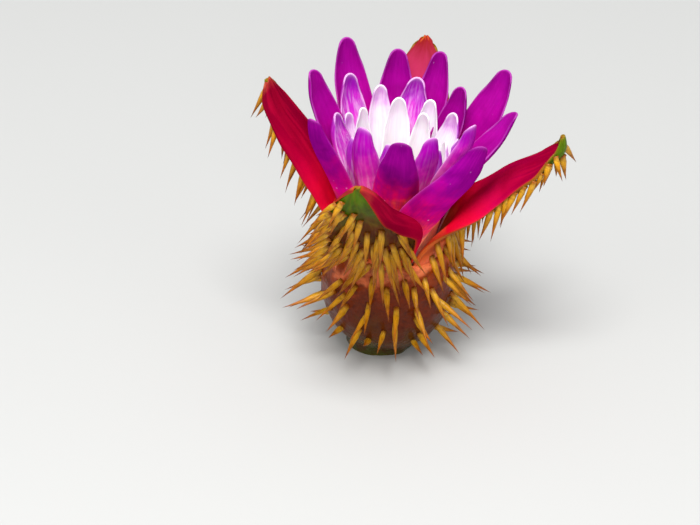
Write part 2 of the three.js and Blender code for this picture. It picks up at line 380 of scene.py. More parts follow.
@dataclass(frozen=True)
class Streaks:
    """Lengthwise streaks between a skin's veins. Sizes are in millimetres."""

    colour: str = "#FFFFFF"
    amounts: Stops = ((0.0, 0.0), (1.0, 0.0))  # how strong they are from foot to tip
    width: float = 0.45
    length: float = 7.0
    edge: Point2 = (0.46, 0.60)  # the noise levels between which a streak fades in


@dataclass(frozen=True)
class Tint:
    """A colour that lies over a skin in places, by an amount from 0 to 1.

    The size is how far apart its blotches or specks lie, in millimetres. A rim's is how closely it keeps to
    the edge, as a power.
    """

    colour: str
    amount: float
    size: float = 3.5


@dataclass(frozen=True)
class SkinFinish(Finish):
    """The skin of a petal, sepal, prickle or stamen, coloured from its foot to its tip.

    Streaks and veins follow the piece, because they read its own maps.
    """

    name: str
    stops: Stops  # colours from foot to tip
    streaks: Streaks = Streaks()
    blotch: Optional[Tint] = None
    rim: Optional[Tint] = None
    # a dark line down the middle, painted shade in the blade's channel
    crease: Optional[Tint] = None
    speck: Optional[Tint] = None
    drift: float = 0.07  # how far the lengthwise colours wander, as a share of the length
    roughness: float = 0.42
    relief: float = 0.05  # the height of the veins in millimetres
    subsurface: float = 0.12
    sheen: float = 0.0
    specular: float = 0.1

    def looks(self, tree: Tree) -> Inputs:
        """Adds the skin's nodes: colours along the piece, then streaks, blotches, painted shade along the
        crease, rim and specks.

        Args:
            tree: the material's node tree.

        Returns:
            What goes into the inputs of its principled shader.
        """
        place = add_node(tree, "UVMap", uv_map=PLACE_MAP)
        grain = add_node(tree, "UVMap", uv_map=GRAIN_MAP)
        across, along = add_node(tree, "SeparateXYZ", {0: place}).outputs[:2]
        layers = []

        # Lengthwise colours, which wander a little, in patches of 3 mm, so that they don't end straight.
        cloud = add_node(tree, "TexNoise", {"Vector": grain, "Scale": 0.35, "Detail": 2.0})
        wander = add_node(tree, "MapRange", {0: cloud, **NOISE, 3: -self.drift, 4: self.drift})
        station = add_node(tree, "Math", {0: along, 1: wander}, operation="ADD", use_clamp=True)
        colour = add_node(tree, "ValToRGB", {0: station}, stops=self.stops)

        # Lengthwise streaks between the veins.
        scale = (1 / self.streaks.width, 1 / self.streaks.length, 1.0)
        stretch = add_node(tree, "Mapping", {"Vector": grain, "Scale": scale})
        fibre = add_node(tree, "TexNoise", {"Vector": stretch, "Scale": 1.0, "Detail": 3.0, "Roughness": 0.6})
        levels = {1: self.streaks.edge[0], 2: self.streaks.edge[1], 3: 0.0, 4: 1.0}
        edge = add_node(tree, "MapRange", {0: fibre, **levels}, interpolation_type="SMOOTHSTEP")
        where = add_node(tree, "ValToRGB", {0: station}, stops=self.streaks.amounts)
        share = add_node(tree, "Math", {0: edge, 1: where}, operation="MULTIPLY", use_clamp=True)
        layers.append((self.streaks, share))

        # Blotches of deeper pigment.
        if self.blotch:
            scale = 1 / self.blotch.size
            pool = add_node(
                tree, "TexNoise", {"Vector": grain, "Scale": scale, "Detail": 3.0, "Distortion": 0.6}
            )
            share = add_node(tree, "MapRange", {0: pool, 1: 0.42, 2: 0.66, 3: 0.0, 4: self.blotch.amount})
            layers.append((self.blotch, share))

        # The painted shade along the middle line, and the rim, by the distance from the middle.
        centred = add_node(tree, "Math", {0: across, 1: 2.0, 2: -1.0}, operation="MULTIPLY_ADD")
        aside = add_node(tree, "Math", {0: centred}, operation="ABSOLUTE")
        if self.crease:
            share = add_node(tree, "MapRange", {0: aside, 1: 0.0, 2: 0.16, 3: self.crease.amount, 4: 0.0})
            layers.append((self.crease, share))
        if self.rim:
            tipwards = add_node(tree, "MapRange", {0: along, 1: 0.8, 2: 1.0, 3: 0.0, 4: 1.0})
            edge = add_node(tree, "Math", {0: aside, 1: tipwards}, operation="MAXIMUM")
            near = add_node(tree, "Math", {0: edge, 1: self.rim.size}, operation="POWER")
            share = add_node(tree, "Math", {0: near, 1: self.rim.amount}, operation="MULTIPLY")
            layers.append((self.rim, share))

        # Fine pale specks, drawn a little coarser than they are so that they show.
        if self.speck:
            dots = add_node(tree, "TexVoronoi", {"Vector": grain, "Scale": 1 / self.speck.size})
            near = add_node(tree, "MapRange", {0: dots, 1: 0.03, 2: 0.13, 3: self.speck.amount, 4: 0.0})
            kept = add_node(tree, "Math", {0: dots.outputs[1], 1: 0.7}, operation="GREATER_THAN")
            share = add_node(tree, "Math", {0: near, 1: kept}, operation="MULTIPLY")
            layers.append((self.speck, share))

        colour = colour.outputs[0]
        for tint, share in layers:
            mixed = add_node(tree, "Mix", {0: share, 6: colour, 7: linear(tint.colour)}, data_type="RGBA")
            colour = mixed.outputs[2]
        levels = {3: self.roughness - 0.07, 4: self.roughness + 0.07}
        return {
            "Base Color": colour,
            "Roughness": add_node(tree, "MapRange", {0: fibre, **NOISE, **levels}),
            "Normal": add_node(
                tree, "Bump", {"Strength": 0.8, "Distance": self.relief * MM, "Height": fibre}
            ),
            "IOR": 1.42,
            "Specular IOR Level": self.specular,
            "Subsurface Weight": self.subsurface,
            "Subsurface Radius": (1.0, 0.6, 0.8),
            "Subsurface Scale": 0.8 * MM,
            "Sheen Weight": self.sheen,
        }


@dataclass(frozen=True)
class OvaryFinish(Finish):
    """The ovary's waxy skin: salmon at the rim, orange-red below it, brown-red on the belly and olive at
    the stalk, mottled and faintly pitted. It reads the object's own coordinates."""

    name: str = "ovary skin, waxy"
    height: float = 21.0  # millimetres from the cut to the rim
    stops: Stops = (
        (0.0, "#4A4A1C"), (0.14, "#50300A"), (0.42, "#5A2004"),
        (0.66, "#6C2404"), (0.84, "#943808"), (0.97, "#E0784A"),
    )  # fmt: skip

    def looks(self, tree: Tree) -> Inputs:
        """Adds the nodes: colours by the height, with ragged borders, then dark flecks and small pits.

        Args:
            tree: the material's node tree.

        Returns:
            What goes into the inputs of its principled shader.
        """
        where = add_node(tree, "TexCoord").outputs["Object"]
        height = add_node(tree, "SeparateXYZ", {0: where}).outputs[2]
        level = add_node(tree, "MapRange", {0: height, 1: 0.0, 2: self.height * MM, 3: 0.0, 4: 1.0})
        # Patches of 4.5 mm, flecks of 1.1 mm and pits of 0.8 mm.
        cloud = add_node(
            tree, "TexNoise", {"Vector": where, "Scale": 0.22 / MM, "Detail": 4.0, "Distortion": 0.8}
        )
        wander = add_node(tree, "MapRange", {0: cloud, **NOISE, 3: -0.16, 4: 0.16})
        station = add_node(tree, "Math", {0: level, 1: wander}, operation="ADD", use_clamp=True)
        colour = add_node(tree, "ValToRGB", {0: station}, stops=self.stops)
        fleck = add_node(tree, "TexNoise", {"Vector": where, "Scale": 0.9 / MM, "Detail": 3.0})
        share = add_node(tree, "MapRange", {0: fleck, 1: 0.5, 2: 0.72, 3: 0.0, 4: 0.65})
        dark = add_node(tree, "Mix", {0: share, 6: colour, 7: linear("#3E1206")}, data_type="RGBA")
        pits = add_node(tree, "TexVoronoi", {"Vector": where, "Scale": 1.2 / MM})
        relief = add_node(tree, "Math", {0: pits, 1: fleck}, operation="ADD")
        return {
            "Base Color": dark.outputs[2],
            "Roughness": add_node(tree, "MapRange", {0: cloud, **NOISE, 3: 0.2, 4: 0.42}),
            "Normal": add_node(tree, "Bump", {"Strength": 0.6, "Distance": 0.12 * MM, "Height": relief}),
            "IOR": 1.42,
            "Specular IOR Level": 0.15,
            "Subsurface Weight": 0.1,
            "Subsurface Radius": (1.0, 0.35, 0.2),
            "Subsurface Scale": 1.2 * MM,
            "Coat Weight": 0.06,
            "Coat Roughness": 0.15,
        }


@dataclass(frozen=True)
class FleshFinish(Finish):
    """The pale, spongy flesh of the freshly cut stalk, a fine foam of air cells."""

    name: str = "cut stalk flesh, spongy"

    def looks(self, tree: Tree) -> Inputs:
        """Adds the nodes: cells about half a millimetre wide, darker where they are open, as painted shade in
        the hollows.

        Args:
            tree: the material's node tree.

        Returns:
            What goes into the inputs of its principled shader.
        """
        where = add_node(tree, "TexCoord").outputs["Object"]
        cells = add_node(tree, "TexVoronoi", {"Vector": where, "Scale": 2.2 / MM})
        # The dark first stop, at each cell's middle, is painted shade in the open cell, which has only a
        # bump.
        stops = ((0.0, "#8E8A52"), (0.45, "#CFCB92"), (1.0, "#E6E2B4"))
        return {
            "Base Color": add_node(tree, "ValToRGB", {0: cells}, stops=stops),
            "Normal": add_node(tree, "Bump", {"Strength": 0.7, "Distance": 0.08 * MM, "Height": cells}),
            "Roughness": 0.55,
            "Subsurface Weight": 0.2,
            "Subsurface Scale": 0.8 * MM,
        }


@dataclass(frozen=True)
class FloorFinish(Finish):
    """A plain pale floor with a trace of unevenness."""

    name: str = "floor, matt pale paint"
    colour: str = "#C0C0BE"

    def looks(self, tree: Tree) -> Inputs:
        """Adds the nodes: broad, faint patches of a different roughness.

        Args:
            tree: the material's node tree.

        Returns:
            What goes into the inputs of its principled shader.
        """
        where = add_node(tree, "TexCoord").outputs["Object"]
        cloud = add_node(tree, "TexNoise", {"Vector": where, "Scale": 6.0})
        rough = add_node(tree, "MapRange", {0: cloud, **NOISE, 3: 0.75, 4: 0.85})
        return {"Base Color": linear(self.colour), "Roughness": rough}


# fmt: off
# Water lily petals: a silky skin of domed cells over clear tissue. It gives saturated, soft-edged colour,
# next to no reflection, and light that carries through.
OUTER_PETAL = SkinFinish(
    "petal skin, magenta violet",
    (
        (0.0, "#F89870"), (0.12, "#F4506C"), (0.22, "#E40470"),
        (0.4, "#D00492"), (0.66, "#AC0490"), (1.0, "#920486"),
    ),
    Streaks("#C010A8", ((0.0, 0.1), (0.5, 0.15), (1.0, 0.18))),
    blotch=Tint("#80006C", 0.4, 5.0),
    rim=Tint("#E070D4", 0.2, 50.0),
    speck=Tint("#FFC8FF", 0.4, 1.6),
    specular=0.05,
)
OUTER_BACK = SkinFinish(
    "petal back, deep violet",
    (
        (0.0, "#FFB880"), (0.24, "#FF9068"), (0.36, "#FF3C54"), (0.48, "#F00C7C"),
        (0.6, "#CC048E"), (0.76, "#94048A"), (1.0, "#84047C"),
    ),
    Streaks("#A80C94", ((0.0, 0.15), (0.5, 0.25), (1.0, 0.3))),
    blotch=Tint("#58005C", 0.45, 5.0),
    rim=Tint("#DC70D4", 0.3, 34.0),
    speck=Tint("#FFC8FF", 0.45, 1.6),
    specular=0.0,
)
FRONT_BACK = replace(
    OUTER_BACK,
    name="petal back, violet over a salmon foot",
    stops=(
        (0.0, "#FFC090"), (0.45, "#FF9068"), (0.53, "#FF4058"), (0.6, "#F00C74"),
        (0.69, "#B8048A"), (0.8, "#8C0480"), (1.0, "#84047C"),
    ),
)
SECOND_PETAL = SkinFinish(
    "petal skin, violet streaked with white",
    (
        (0.0, "#FFE0D4"), (0.3, "#FFB4DC"), (0.55, "#F878DC"),
        (0.76, "#DC34CC"), (0.9, "#B81CC0"), (1.0, "#A818BC"),
    ),
    Streaks("#FFF0FF", ((0.0, 0.53), (0.5, 0.9), (0.78, 0.45), (0.95, 0.08)), 0.6, 4.5, (0.42, 0.66)),
    blotch=Tint("#9C0CAC", 0.4),
    rim=Tint("#FFE0FF", 0.8, 20.0),
    speck=Tint("#FFFFFF", 0.4, 1.4),
    specular=0.05,
)
SECOND_BACK = SkinFinish(
    "petal back, violet fading to pale pink",
    (
        (0.0, "#FCC8B4"), (0.3, "#FFA0C8"), (0.54, "#FF58C4"),
        (0.7, "#F030C4"), (0.86, "#B80CB0"), (1.0, "#A00CA8"),
    ),
    Streaks("#FFDCF6", ((0.0, 0.8), (0.44, 0.55), (0.68, 0.1), (1.0, 0.02)), 0.6, 5.5, (0.44, 0.64)),
    blotch=Tint("#800084", 0.35),
    rim=Tint("#F8C0F4", 0.7, 22.0),
    specular=0.0,
)
THIRD_PETAL = SkinFinish(
    "petal skin, white with violet tips",
    ((0.0, "#F8F0E8"), (0.6, "#F8F0F6"), (0.8, "#F6E0F4"), (0.92, "#E4A0E8"), (1.0, "#D070D8")),
    Streaks("#FCF6FC", ((0.0, 1.0), (0.6, 0.87), (0.85, 0.53), (1.0, 0.1)), edge=(0.38, 0.55)),
    blotch=Tint("#EC9CEC", 0.15),
    rim=Tint("#FFFFFF", 0.95, 10.0),
    subsurface=0.25,
)
INNER_PETAL = SkinFinish(
    "petal skin, white",
    ((0.0, "#E8D8B4"), (0.3, "#ECE2D0"), (0.6, "#E8E4E4"), (0.85, "#F2EEF2"), (1.0, "#F4E4F4")),
    Streaks("#DCC4DE", ((0.0, 0.25), (1.0, 0.2)), edge=(0.42, 0.62)),
    rim=Tint("#FFFFFF", 1.0, 9.0),
    subsurface=0.3,
)

# Sepals: thick, fleshy leaves. The inside is a smooth, even crimson that keeps its depth because it hardly
# reflects. The outside is tougher, mottled and a little waxy.
SEPAL_INSIDE = SkinFinish(
    "sepal inside, crimson and smooth",
    (
        (0.0, "#FFB070"), (0.1, "#FA7840"), (0.2, "#E80C30"), (0.45, "#C00448"),
        (0.72, "#8C0030"), (0.94, "#7C0426"), (0.985, "#982830"), (1.0, "#B05A40"),
    ),
    Streaks("#E01440", ((0.0, 0.1), (0.5, 0.2), (1.0, 0.2)), 1.6, 14.0),
    blotch=Tint("#8A0024", 0.4, 8.0),
    rim=Tint("#B04410", 0.9, 70.0),
    # A dark line down the middle: painted shade in the channel, kept by the deep crimson copy too
    crease=Tint("#8A0018", 0.12),
    drift=0.03,
    roughness=0.34,
    relief=0.02,
    subsurface=0.06,
    specular=0.0,
)
SEPAL_PALE = replace(
    SEPAL_INSIDE,
    name="sepal inside, rose red",
    stops=(
        (0.0, "#FFB070"), (0.1, "#FA7840"), (0.3, "#DC2040"), (0.72, "#C43464"),
        (0.9, "#A82C48"), (0.98, "#90201C"), (1.0, "#C85A20"),
    ),
    streaks=Streaks("#D84C68", ((0.0, 0.06), (1.0, 0.06)), 1.6, 14.0),
    blotch=Tint("#8A0024", 0.2, 8.0),
    rim=Tint("#8A2416", 0.6, 70.0),
    crease=None,
    relief=0.0,
)
SEPAL_DEEP = replace(
    SEPAL_INSIDE,
    name="sepal inside, deep crimson",
    stops=(
        (0.0, "#FFB070"), (0.1, "#FA7840"), (0.2, "#E80C30"), (0.45, "#AC0230"),
        (0.72, "#7C0024"), (0.94, "#700420"), (0.985, "#903028"), (1.0, "#B05A40"),
    ),
)
SEPAL_OUTSIDE = SkinFinish(
    "sepal outside, green to red-brown",
    (
        (0.0, "#F08460"), (0.1, "#D85C2C"), (0.2, "#8A300A"), (0.36, "#5A1C06"),
        (0.58, "#5C2A08"), (0.74, "#4A4E06"), (0.86, "#486C02"), (1.0, "#5A7808"),
    ),
    Streaks("#7A6A14", ((0.0, 0.15), (0.5, 0.3), (1.0, 0.3)), 0.9, 6.0),
    blotch=Tint("#341004", 0.5, 2.6),
    rim=Tint("#B46424", 0.5, 50.0),
    relief=0.06,
)
# Prickles: hard and horny, waxy yellow at their swollen feet and amber at the point, with a dull shine.
PRICKLE = SkinFinish(
    "prickle, horny and amber",
    # The first, dark stop is painted shade at the very foot, where each prickle meets the skin.
    ((0.0, "#94500C"), (0.12, "#D4A02C"), (0.3, "#C88C08"), (0.68, "#A45C04"), (1.0, "#743204")),
    Streaks("#F6D060", ((0.0, 0.12), (0.5, 0.08), (1.0, 0.01)), 0.35, 3.0),
    blotch=Tint("#5A2A04", 0.6, 1.6),
    roughness=0.34,
    relief=0.03,
    subsurface=0.1,
    specular=0.25,
)
# Stamens and stigma: soft white threads, anthers that look dry with pollen, and a velvety disc.
FILAMENT = SkinFinish(
    "stamen filament, white and soft",
    ((0.0, "#FFF4E4"), (0.6, "#FFF8F4"), (1.0, "#F8DCE8")),
    Streaks(width=0.2),
    roughness=0.5,
    subsurface=0.3,
)
ANTHER = SkinFinish(
    "anther, dusty pale yellow",
    ((0.0, "#F8E4A8"), (0.5, "#F6D878"), (1.0, "#FAECC0")),
    Streaks("#E4B84C", ((0.0, 0.12), (1.0, 0.12)), 0.25, 1.5),
    roughness=0.7,
)
STIGMA = SkinFinish(
    "stigma, velvety dark pink",
    ((0.0, "#D8788A"), (0.4, "#B83A5A"), (0.85, "#8E1838"), (1.0, "#C86A7C")),
    Streaks("#E8A0AC", ((0.0, 0.05), (1.0, 0.12)), 0.5, 2.0),
    roughness=0.55,
    sheen=0.3,
)
# fmt: on


# ------------------------- The flower's frame, and the blade of a petal or sepal -------------------------


@dataclass(frozen=True)
class Lean:
    """How the flower's own axis leans from the vertical, in degrees."""

    right: float = 4.6
    forward: float = 3.2

    def matrix(self) -> Matrix:
        """Gives the turn from the flower's frame to the part's, with millimetres turned to metres."""
        forward = Matrix.Rotation(math.radians(self.forward), 4, "X")
        return forward @ Matrix.Rotation(math.radians(self.right), 4, "Y") @ Matrix.Scale(MM, 4)


LEAN = Lean()


@dataclass(frozen=True)
class Leaf:
    """One petal or sepal. Millimetres and degrees, in the flower's frame.

    The azimuth runs from +X towards +Y. The width is measured round the curve of the blade. The hook is how
    far the tip comes back in, the cup how steeply each half turns in at its edge, the twist how far the
    blade's face turns aside on the way up, the bow how much further out its middle bows than its whorl's
    do, the dip how much further out it lies near its foot, the foot turn how far round its foot stands from
    its tip, and the sway its sideways bow. The half at v > 0 is wider than the other by the lopsidedness,
    which has a value of its own at the foot.
    """

    node: str
    azimuth: float
    tip_radius: float
    tip_height: float
    width: float
    hook: float
    cup: float
    twist: float = 0.0
    bow: float = 0.0
    foot_turn: float = 0.0
    sway: float = 0.0
    dip: float = 0.0
    lopsided: float = 0.0
    foot_lopsided: float = 0.0


@dataclass(frozen=True)
class Fold:
    """How a blade folds across. Degrees and millimetres. A pair is for the halves v < 0 and v > 0."""

    crease: Point2 = (0.0, 0.0)  # how far each half folds in along the middle
    roll: Point2 = (0.0, 0.0)  # how far each margin rolls back out, as a negative angle
    reach: float = 3.0  # how wide the rolled margin is, round its curve
    widening: Point2 = (-0.1, 0.4)  # where along the blade it widens to that
    start: Point2 = (0.0, 0.2)  # where along the blade the roll sets in
    end: Point2 = (0.7, 1.0)  # where it fades out


@dataclass(frozen=True)
class BladeLaw:
    """What all blades of one whorl share. Millimetres and degrees."""

    foot_radius: float
    foot_height: float
    foot_width: float
    foot_cup: float
    widest: float  # where the blade reaches its full width, from 0 at the foot to 1 at the tip
    tip_power: float  # how late it narrows to the tip
    tip_blunt: float  # the width of its round end as a share of the leaf's
    bow: float
    thickness: float
    hood: float  # how far the tip bends in
    hood_cup: float  # how much more steeply the edges turn in at the tip
    hood_from: float = 0.86
    hood_rise: float = 0.2  # how far the blade bows out below its hood, as a share of the hood
    edge_thinning: float = 0.45
    tip_thinning: float = 0.2
    tip_taper: float = 0.5  # 0.5 gives a round end, and more a pointed one
    foot_drop: float = 0.0  # how much further down the corners of its foot reach than the middle
    fold: Fold = Fold()
    ripple: float = 0.14  # the waves of its surface
    rows: int = 30
    columns: int = 16


class Blade:
    """The surface and the mesh of one petal or sepal.

    A point has a station t, from 0 at the foot to 1 at the tip, and a place v across, from -1 to 1.
    """

    tip_from = 0.72  # the station from which the hook and the hood's cup set in
    dip_scale = 9.5  # makes the dip's curve about 1 at its highest
    strides = 10  # how many steps lead from the middle line to a point

    def __init__(self, leaf: Leaf, law: BladeLaw) -> None:
        """Takes the leaf's own shape and what its whorl shares.

        Args:
            leaf: the petal or sepal.
            law: its whorl's law.
        """
        self.leaf = leaf
        self.law = law
        self.chance = random.Random(leaf.node)
        self.phase = self.chance.uniform(0, 50)
        self.foot = Vector((law.foot_radius, law.foot_height))
        self.run = Vector((leaf.tip_radius, leaf.tip_height)) - self.foot
        self.length = self.run.length

    def width(self, t: float) -> float:
        """Gives the width along the surface.

        Args:
            t: the station.

        Returns:
            The width in millimetres.
        """
        law = self.law
        full = mix(law.foot_width, self.leaf.width, smooth(t, 0.0, law.widest))
        return full * (1 - (1 - law.tip_blunt**2) * min(t, 1.0) ** law.tip_power) ** law.tip_taper

    def half(self, t: float, v: float) -> float:
        """Gives the width of one half.

        Args:
            t: the station.
            v: a place in that half.

        Returns:
            The width in millimetres.
        """
        leaf = self.leaf
        more = mix(leaf.foot_lopsided, leaf.lopsided, smooth(t, 0.0, self.law.widest))
        return self.width(t) / 2 * (1 + math.copysign(1.0, v) * more)

    def station(self, t: float, v: float) -> float:
        """Bends the rows of points: the last ones back at their ends, and the first ones down.

        Args:
            t: the station of the row's middle.
            v: the place across.

        Returns:
            The point's own station.
        """
        end = self.leaf.width * self.law.tip_blunt / 2 / self.length
        drop = self.law.foot_drop / self.length * v * v * (1 - smooth(t, 0.0, 0.35))
        return t - end * (1 - math.sqrt(max(1 - v * v, 0.0))) * smooth(t, 0.7, 1.0) - drop

    def spine(self, t: float) -> Vector:
        """Gives the middle line in the blade's upright plane: straight, then bowed, dipped and hooked.

        Args:
            t: the station.

        Returns:
            The radius and the height in millimetres.
        """
        leaf, law = self.leaf, self.law
        bow = (law.bow + leaf.bow) * arch(t) + leaf.dip * self.dip_scale * t * max(1 - t, 0.0) ** 3
        hook = leaf.hook * (t - smooth(t, self.tip_from, 1.0))
        curl = (max(t - law.hood_from, 0.0) / (1 - law.hood_from)) ** 2
        hood = law.hood * (law.hood_rise * smooth(t, 0.5, 0.9) - curl)
        away = Vector((self.run.y, -self.run.x)).normalized()
        return self.foot + self.run * t + away * (bow + hook + hood)

    def side(self, t: float) -> tuple[Vector, Vector]:
        """Gives the level directions at t: out from the flower's axis, and round it."""
        out = outward(math.radians(self.leaf.azimuth + self.leaf.foot_turn * (1 - t)))
        return out, Vector((-out.y, out.x, 0))

    def middle(self, t: float) -> Vector:
        """Gives a point of the middle line.

        Args:
            t: the station.

        Returns:
            The point.
        """
        out, side = self.side(t)
        here = self.spine(t)
        return out * here.x + Vector((0, 0, here.y)) + side * (self.leaf.sway * arch(t))

    def axes(self, t: float) -> tuple[Vector, Vector, Vector]:
        """Gives the blade's own directions.

        Args:
            t: the station.

        Returns:
            The directions along the blade, across it and in to the flower's axis.
        """
        forward = (self.middle(t + 1e-3) - self.middle(t - 1e-3)).normalized()
        side = self.side(t)[1]
        across = (side - forward * side.dot(forward)).normalized()
        turn = Matrix.Rotation(math.radians(self.leaf.twist * smooth(t, 0.1, 0.9)), 3, forward)
        across = turn @ across
        return forward, across, forward.cross(across)

    def flat(self, t: float, v: float) -> float:
        """Gives how far out from the middle the rolled margin begins in the half of v, from 0 to 1."""
        fold = self.law.fold
        return min(max(1 - fold.reach * smooth(t, *fold.widening) / self.half(t, v), 0.4), 0.99)

    def slope(self, t: float, v: float) -> float:
        """Gives the surface's slope across the blade: cupped, creased in the middle, rolled at the margin.

        Args:
            t: the station.
            v: the place across.

        Returns:
            The slope in radians.
        """
        leaf, law, fold = self.leaf, self.law, self.law.fold
        cup = mix(law.foot_cup, leaf.cup, smooth(t, 0.0, 0.4))
        cup += law.hood_cup * smooth(t, self.tip_from, 1.0)
        flat = self.flat(t, v)
        back = fold.roll[v > 0] * max(abs(v) - flat, 0.0) / (1 - flat)
        back *= smooth(t, *fold.start) * (1 - smooth(t, *fold.end))
        crease = fold.crease[v > 0] * smooth(abs(v), 0.0, 0.12) * smooth(t, 0.1, 0.5)
        turn = math.radians(crease + cup * abs(v) + back)
        return turn if v >= 0 else -turn

    def surface(self, t: float, v: float) -> tuple[Vector, Vector]:
        """Gives a point of the middle surface.

        Args:
            t: the station.
            v: the place across.

        Returns:
            The point, and the normal on the inner side.
        """
        at = self.station(t, v)
        forward, across, inward = self.axes(at)
        stride = self.half(t, v) * v / self.strides
        side = lift = 0.0
        for i in range(self.strides):
            slope = self.slope(t, v * (i + 0.5) / self.strides)
            side += math.cos(slope) * stride
            lift += math.sin(slope) * stride
        slope = self.slope(t, v)
        normal = inward * math.cos(slope) - across * math.sin(slope)
        point = self.middle(at) + across * side + inward * lift
        # Broad waves all over, and shorter ones at the edges.
        wave = noise.noise(Vector((v * 1.1, t * 3.2, self.phase)))
        flutter = noise.noise(Vector((v * 0.6, t * 6.5, self.phase + 9))) * abs(v) ** 3
        return point + normal * self.law.ripple * (wave + 1.4 * flutter) * smooth(t, 0.0, 0.2), normal

    def build(self, inside: SkinFinish, outside: SkinFinish) -> Piece:
        """Models the blade from a flat grid: bent to its surface, thickened, thinned at the edges, rounded.

        Args:
            inside: the finish of the face that looks at the flower's axis.
            outside: the finish of the other face and of the edge.

        Returns:
            The blade in the flower's frame, in millimetres.
        """
        law = self.law
        grid = bpy.ops.mesh.primitive_grid_add
        piece = add_primitive(grid, x_subdivisions=law.columns, y_subdivisions=law.rows, size=2)
        thin = piece.vertex_groups.new(name="thickness")
        places = []
        for vertex in piece.data.vertices:
            v = math.sin(-vertex.co.x * math.pi / 2)
            t = 1 - (1 - (vertex.co.y + 1) / 2) ** 1.5
            places.append(((v + 1) / 2, t))
            thinned = 1 - law.edge_thinning * abs(v) ** 3
            thin.add([vertex.index], thinned * (1 - law.tip_thinning * smooth(t, 0.6, 1.0)), "REPLACE")
            vertex.co = self.surface(t, v)[0]
        shift = (self.chance.uniform(0, 90), self.chance.uniform(0, 90))
        lay_maps(piece, places, (self.leaf.width, self.length), shift)
        dress(piece, inside, outside)
        apply_modifier(
            piece,
            "SOLIDIFY",
            thickness=law.thickness,
            offset=0.0,
            vertex_group="thickness",
            thickness_vertex_group=0.3,
            material_offset=1,
            material_offset_rim=1,
        )
        apply_modifier(piece, "SUBSURF", levels=1, render_levels=1)
        bpy.ops.object.shade_smooth()
        return piece


# ------------------------------------------ Sub-assemblies ------------------------------------------


class Slot(Enum):
    """The record's material slots."""

    OVARY = "ovary_skin"
    STIGMA = "stigma_red"
    SEPAL = "sepal_red"
    MAGENTA = "petal_magenta"
    VIOLET = "petal_violet"
    WHITE = "petal_white"
    CREAM = "stamen_cream"


def hand_over(piece: Piece, name: str, node: str) -> None:
    """Puts a finished piece in the part's frame and ties it to the solid that it stands for.

    Args:
        piece: the finished object, in the flower's frame and in millimetres.
        name: its name.
        node: the CAD node that it replaces.
    """
    piece.data.transform(LEAN.matrix())
    piece.name = name
    piece.data.name = name
    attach(piece, BODY)
    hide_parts(node)
    log.info("%s: %d faces, stands for %s", name, len(piece.data.polygons), node)


@dataclass
class PrickleMaker:
    """Models one prickle, flared at its foot, swollen above it and then a curved needle, and copies it."""

    radius: float = 0.52  # millimetres
    sides: int = 8
    bend: float = 0.35  # how far its point bends aside, in millimetres
    # height as a share of the length, and girth as a share of the radius
    rings: tuple[Point2, ...] = (
        (0.0, 1.1), (0.07, 0.86), (0.24, 1.0), (0.42, 0.8), (0.66, 0.44), (0.86, 0.16), (1.0, 0.0),
    )  # fmt: skip
    template: Optional[Piece] = None

    def model(self) -> None:
        """Models the template, one unit long up +Z."""
        self.template = grow(self.radius, self.sides, self.rings, self.bend)
        points = [vertex.co for vertex in self.template.data.vertices]
        lay_maps(self.template, [(turn_of(point), point.z) for point in points], size=(3.0, 6.0))
        dress(self.template, PRICKLE)

    def stand(
        self, foot: Vector, direction: Vector, length: float, chance: random.Random
    ) -> Piece:
        """Stands one prickle.

        Args:
            foot: the middle of its foot.
            direction: where it points.
            length: its length in millimetres.
            chance: gives its girth and its turn.

        Returns:
            The prickle.
        """
        girth = chance.uniform(0.85, 1.15)
        turn = turn_to(direction.normalized(), chance.uniform(0, 360))
        shape = Matrix.Diagonal((girth, girth, length, 1))
        return copy_of(self.template, Matrix.Translation(foot) @ turn @ shape)

    def done(self) -> None:
        """Removes the template."""
        bpy.data.objects.remove(self.template)


SEPAL_LAW = BladeLaw(
    foot_radius=9.6,
    foot_height=19.6,
    foot_width=15.0,
    foot_cup=36.0,
    widest=0.42,
    tip_power=1.3,
    tip_blunt=0.08,
    bow=0.0,
    thickness=1.1,
    hood=1.8,
    hood_cup=18.0,
    hood_from=0.82,
    hood_rise=0.8,
    edge_thinning=0.55,
    tip_thinning=0.45,
    foot_drop=2.6,
    ripple=0.2,
    rows=46,
    columns=32,
)


@dataclass(frozen=True)
class Sepal:
    """One sepal: its blade, its law, and how its prickles stand.

    The spread is how far out they point and the fan how far aside at the margins, as shares. Beyond the bare
    station only the half at v < 0 has prickles. A fringe of so many prickles stands along one line of v, from
    its own station up. Lengths are in millimetres, from the foot to the tip.
    """

    leaf: Leaf
    law: BladeLaw
    spread: float
    inside: SkinFinish
    fan: float = 0.25
    rows: int = 11
    bare: float = 1.0
    fringe: int = 0
    fringe_at: float = -0.94
    fringe_from: float = 0.4
    longest: float = 8.4
    shortest: float = 4.6


